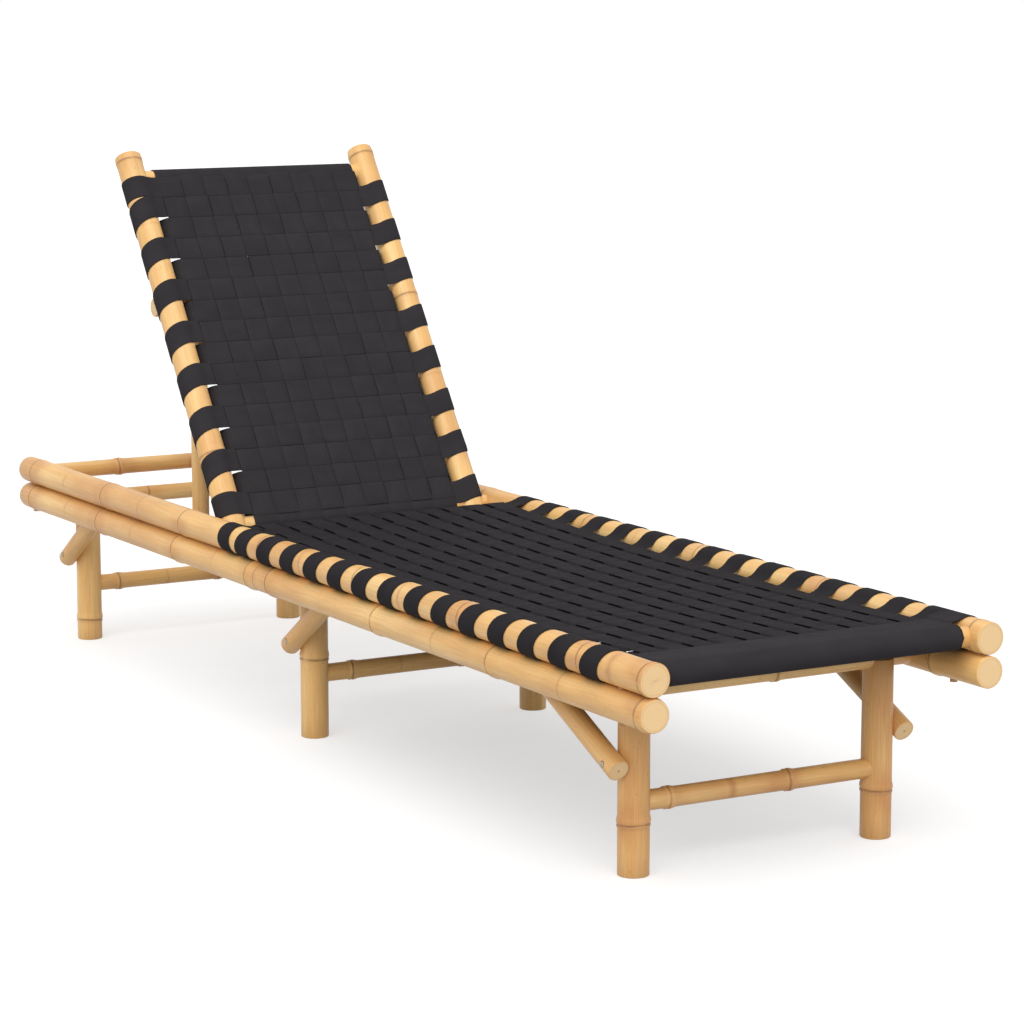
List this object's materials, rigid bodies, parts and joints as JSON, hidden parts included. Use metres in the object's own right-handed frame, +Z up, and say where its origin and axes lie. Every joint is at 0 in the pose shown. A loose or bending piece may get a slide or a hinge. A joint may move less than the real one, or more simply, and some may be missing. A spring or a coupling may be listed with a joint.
{
  "type": "bamboo sun lounger",
  "caption": "Long webbed bed on a frame of round bamboo poles, with a webbed backrest that reclines flat on a folding prop.",
  "frame": {"origin": "on the floor, under the middle of the bed", "axes": "+X along the bed to the foot end, +Y to the lying person's left side, +Z up"},
  "size_m": [2, 0.558, 0.8493],
  "materials": {
    "bamboo": "satin",
    "dowel": "matt",
    "webbing": "matt"
  },
  "bodies": {
    "base": {"right_upper_rail": "bamboo", "right_lower_rail": "bamboo", "right_foot_leg": "bamboo", "right_foot_brace": "bamboo", "right_mid_leg": "bamboo", "right_mid_brace": "bamboo", "right_head_leg": "bamboo", "right_head_brace": "bamboo", "left_upper_rail": "bamboo", "left_lower_rail": "bamboo", "left_foot_leg": "bamboo", "left_foot_brace": "bamboo", "left_mid_leg": "bamboo", "left_mid_brace": "bamboo", "left_head_leg": "bamboo", "left_head_brace": "bamboo", "foot_lower_bar": "bamboo", "foot_stretcher": "bamboo", "mid_lower_bar": "bamboo", "mid_stretcher": "bamboo", "head_lower_bar": "bamboo", "head_stretcher": "bamboo", "head_bar": "bamboo", "seat_rear_bar": "bamboo", "seat_front_bar": "bamboo", "rail_dowels": "dowel", "seat_webbing": "webbing", "seat_rail_wraps": "webbing"},
    "back": {"right_back_rail": "bamboo", "left_back_rail": "bamboo", "back_top_bar": "bamboo", "back_hinge_bar": "bamboo", "back_webbing": "webbing", "back_rail_wraps": "webbing"},
    "prop": {"prop_pivot_bar": "bamboo", "right_prop_post": "bamboo", "left_prop_post": "bamboo", "prop_top_bar": "bamboo"}
  },
  "joints": [
    {"name": "back_recline", "type": "hinge", "parent": "base", "child": "back", "pos_m": [-0.285, 0, 0.2877], "axis": [0, -1, 0], "range_deg": [0, 52.5]},
    {"name": "prop_fold", "type": "hinge", "parent": "base", "child": "prop", "pos_m": [-0.54819, 0, 0.243], "axis": [0, -1, 0], "range_deg": [0, 85.4]}
  ],
  "couplings": [
    {"joint": "prop_fold", "follows": "back_recline", "ratio": 1.626}
  ]
}
